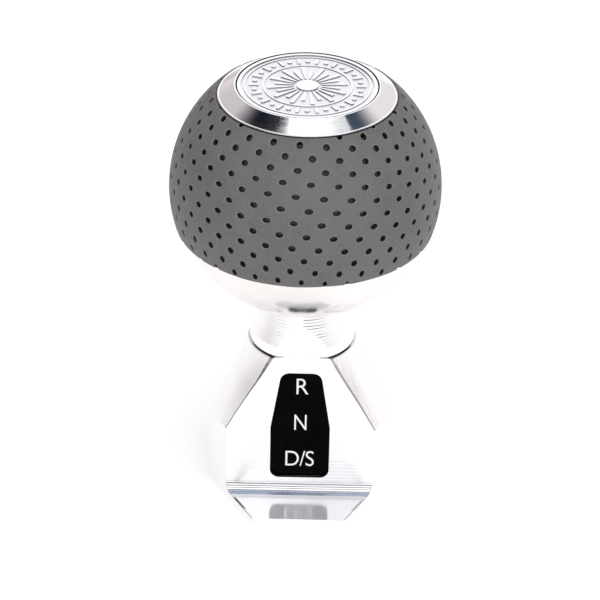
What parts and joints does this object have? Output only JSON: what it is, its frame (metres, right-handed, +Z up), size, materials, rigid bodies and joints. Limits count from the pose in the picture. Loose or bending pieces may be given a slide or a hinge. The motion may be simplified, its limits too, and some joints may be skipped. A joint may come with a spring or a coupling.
{
  "type": "gear shift knob",
  "caption": "Gear shift knob: perforated leather ball with a sprung medallion button, on a turned neck and a faceted aluminium foot with a gear display window.",
  "frame": {"origin": "centre of the foot's underside, on the axis of the lever and the ball", "axes": "+Z up along the lever and the ball's axis, -Y towards the driver, where the display window is, +X to the driver's right"},
  "size_m": [0.055, 0.055, 0.0933],
  "materials": {
    "polished_aluminium": "polished, with fine turning marks",
    "turned_aluminium": "turned, with fine rings",
    "milled_aluminium": "milled, with fine cutter lines",
    "machined_aluminium": "machined",
    "brushed_ring": "brushed round, bright",
    "medallion_silver": "struck, satin field and bright relief",
    "grey_leather": "perforated, satin",
    "foam_tape": "foam tape",
    "steel": "bright",
    "spring_steel": "oiled black",
    "brass": "turned",
    "black_rubber": "matt",
    "black_gloss": "smoked gloss",
    "legend_film": "printed film",
    "lamp": "lamp body",
    "circuit_board": "solder resist",
    "socket_plastic": "moulded",
    "plate_plastic": "moulded, fine grain"
  },
  "bodies": {
    "knob": {"head_ball": "polished_aluminium", "leather_wrap": "grey_leather", "bezel_ring": "brushed_ring", "guide_bush": "brass", "return_spring": "spring_steel", "neck_collar": "turned_aluminium", "index_pin": "steel", "tie_stud": "steel", "tie_washer": "steel", "tie_nut": "steel", "foot_body": "milled_aluminium", "lens_gasket": "black_rubber", "window_lens": "black_gloss", "letter_film": "legend_film", "gear_lamps": "lamp", "light_board": "circuit_board", "board_socket": "socket_plastic", "lever_sleeve": "brass", "grub_screws": "spring_steel", "cover_plate": "plate_plastic", "plate_screws": "steel"},
    "button": {"medallion": "medallion_silver", "medallion_pad": "foam_tape", "button_cup": "machined_aluminium", "push_rod": "steel", "rod_clip": "spring_steel"}
  },
  "joints": [
    {"name": "release_button_press", "type": "slide", "parent": "knob", "child": "button", "axis": [0, 0, -1], "range_m": [0, 0.0025], "stiffness_N_per_m": 1500, "springref_m": -0.002, "deforming": ["return_spring"]}
  ]
}
